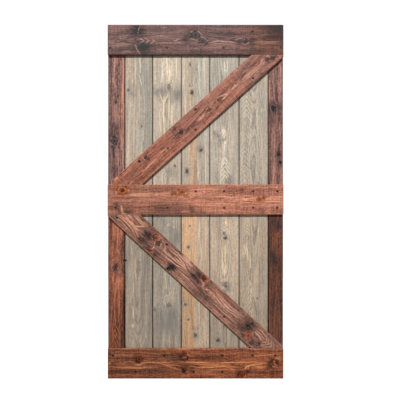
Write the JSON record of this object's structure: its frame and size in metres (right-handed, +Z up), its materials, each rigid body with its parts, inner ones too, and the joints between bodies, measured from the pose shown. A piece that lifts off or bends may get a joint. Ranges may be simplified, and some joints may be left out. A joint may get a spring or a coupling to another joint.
{
  "type": "sliding barn door",
  "caption": "K-frame plank barn door slab: upright tongue-and-groove boards with rails and diagonal braces screwed on the front, made to hang from a sliding track.",
  "frame": {"origin": "middle of the bottom edge, at mid width and mid thickness", "axes": "+X to the right across the door seen from the front, +Y through the thickness from the front to the back, +Z up"},
  "size_m": [1.06, 0.038, 2.134],
  "materials": {
    "stile_wood": "dark brown stain, matt",
    "board_wood": "weathered grey-beige wash, matt",
    "rail_wood": "red-brown stain, satin",
    "brace_wood": "red-brown stain, satin",
    "screw_steel": "black oxide, satin"
  },
  "bodies": {
    "root": {"left_stile": "stile_wood", "board_1": "board_wood", "board_2": "board_wood", "board_3": "board_wood", "board_4": "board_wood", "board_5": "board_wood", "right_stile": "stile_wood", "top_rail": "rail_wood", "middle_rail": "rail_wood", "bottom_rail": "rail_wood", "upper_brace": "brace_wood", "lower_brace": "brace_wood", "top_rail_screws": "screw_steel", "middle_rail_screws": "screw_steel", "bottom_rail_screws": "screw_steel", "upper_brace_screws": "screw_steel", "lower_brace_screws": "screw_steel"}
  },
  "joints": []
}
